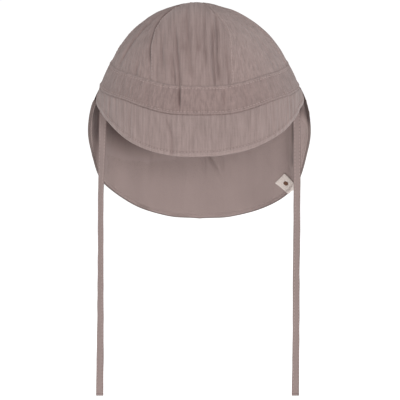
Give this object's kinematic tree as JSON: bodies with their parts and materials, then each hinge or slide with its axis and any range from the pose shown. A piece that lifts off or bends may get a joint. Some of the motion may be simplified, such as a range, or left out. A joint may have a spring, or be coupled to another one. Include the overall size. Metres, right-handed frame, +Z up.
{
  "type": "sun hat",
  "caption": "Child's soft sun hat with a gored crown, a band, a front peak, a long neck flap and free ties at the ears.",
  "frame": {"origin": "the mount head_seat: the middle of the head opening, level with the band's lowest point at the brow, where a head holds the hat", "axes": "+Z up through the crown, -Y to the front over the peak, +X to the wearer's left (the viewer's right from the front)"},
  "size_m": [0.1778, 0.2148, 0.3163],
  "materials": {
    "muslin": "matt mauve-taupe cotton muslin with fine vertical crinkles",
    "lining": "matt smooth plain cotton lining in the same mauve taupe",
    "tie_tape": "matt folded and stitched cotton tape",
    "label_tape": "matt cream woven cotton"
  },
  "bodies": {
    "root": {"headband": "muslin", "crown_gore_front": "muslin", "crown_gore_front_right": "muslin", "crown_gore_back_right": "muslin", "crown_gore_back": "muslin", "crown_gore_back_left": "muslin", "crown_gore_front_left": "muslin", "front_peak": "muslin", "neck_flap": "lining", "tie_left": "tie_tape", "tie_right": "tie_tape", "label": "label_tape"}
  },
  "joints": []
}
